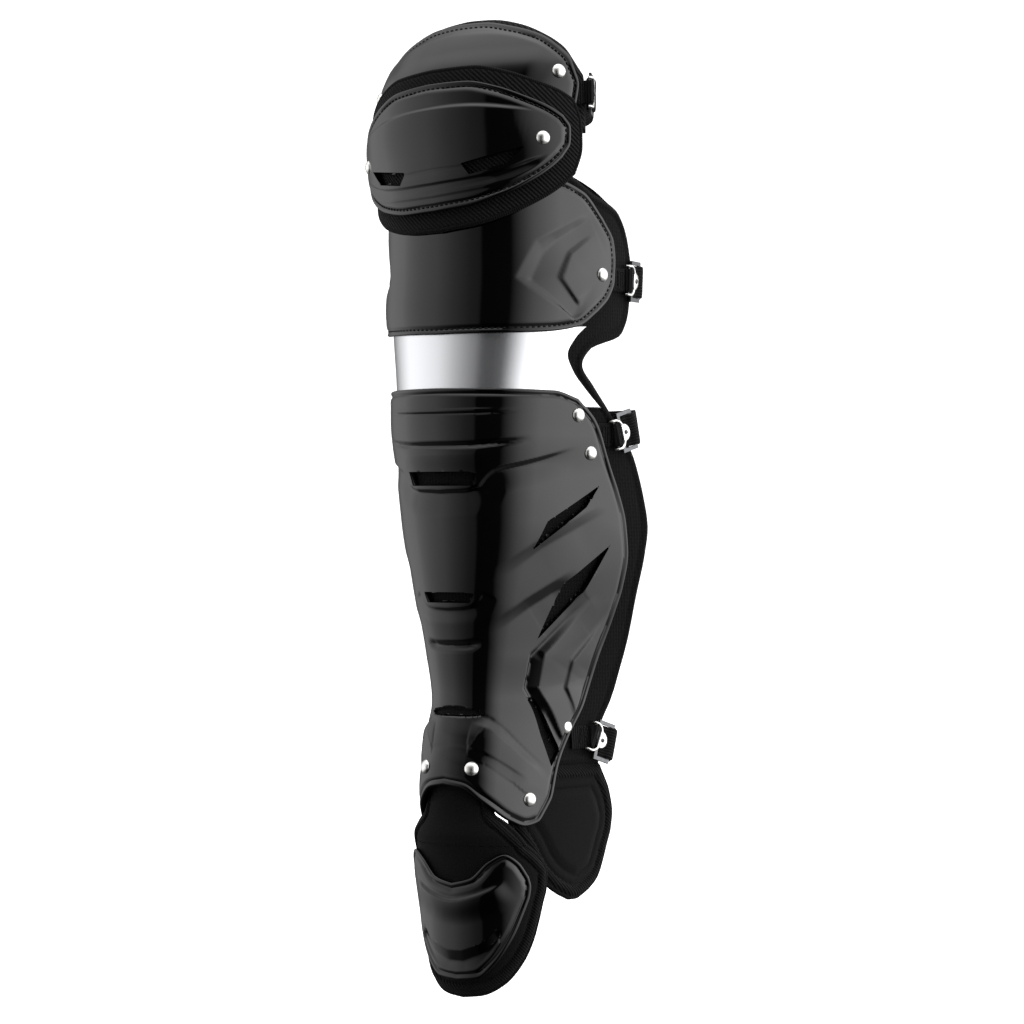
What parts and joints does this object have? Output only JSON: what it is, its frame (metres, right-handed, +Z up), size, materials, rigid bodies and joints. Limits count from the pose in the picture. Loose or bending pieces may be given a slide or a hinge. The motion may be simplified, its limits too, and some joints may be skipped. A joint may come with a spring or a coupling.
{
  "type": "catcher's leg guard",
  "caption": "Catcher's leg guard with gloss black plates, a silver shin band, black padding and elastic straps with metal hooks.",
  "frame": {"origin": "centre of the wearer's knee joint on the axis of the leg, inside the guard's hollow", "axes": "+Z up the leg, -Y the front of the guard, +X the outer side, where the buckles are"},
  "size_m": [0.1652, 0.1637, 0.6228],
  "materials": {
    "gloss_shell": "gloss",
    "silver_shell": "metallised gloss",
    "mesh_cloth": "matt spacer mesh",
    "neoprene": "matt",
    "webbing": "woven",
    "elastic": "ribbed elastic",
    "nickel": "bright nickel plate",
    "satin_metal": "satin"
  },
  "bodies": {
    "root": {"thigh_pad": "mesh_cloth", "leg_pad": "mesh_cloth", "thigh_shell": "gloss_shell", "knee_pad": "mesh_cloth", "knee_cup": "gloss_shell", "lower_knee_shell": "gloss_shell", "shin_band": "silver_shell", "shin_shell": "gloss_shell", "wing_pad_outer": "mesh_cloth", "wing_pad_inner": "mesh_cloth", "instep_flap": "neoprene", "toe_pad": "mesh_cloth", "toe_shell": "gloss_shell", "rivet_thigh_outer": "nickel", "rivet_thigh_inner": "nickel", "rivet_cup_outer": "nickel", "rivet_cup_inner": "nickel", "rivet_lower_knee_outer": "nickel", "rivet_lower_knee_inner": "nickel", "rivet_shin_upper_outer": "nickel", "rivet_shin_upper_inner": "nickel", "rivet_shin_lower_outer": "nickel", "rivet_shin_lower_inner": "nickel", "rivet_ankle_side_outer": "nickel", "rivet_ankle_side_inner": "nickel", "rivet_ankle_low_outer": "nickel", "rivet_ankle_low_inner": "nickel", "rivet_ankle_front_outer": "nickel", "rivet_ankle_front_inner": "nickel", "tab_thigh": "webbing", "bar_thigh": "satin_metal", "hook_thigh": "nickel", "slide_thigh": "satin_metal", "strap_thigh": "elastic", "tab_knee": "webbing", "bar_knee": "satin_metal", "hook_knee": "nickel", "slide_knee": "satin_metal", "strap_knee": "elastic", "tab_calf": "webbing", "bar_calf": "satin_metal", "hook_calf": "nickel", "slide_calf": "satin_metal", "strap_calf": "elastic", "tab_ankle": "webbing", "bar_ankle": "satin_metal", "hook_ankle": "nickel", "slide_ankle": "satin_metal", "strap_ankle": "elastic"}
  },
  "joints": []
}
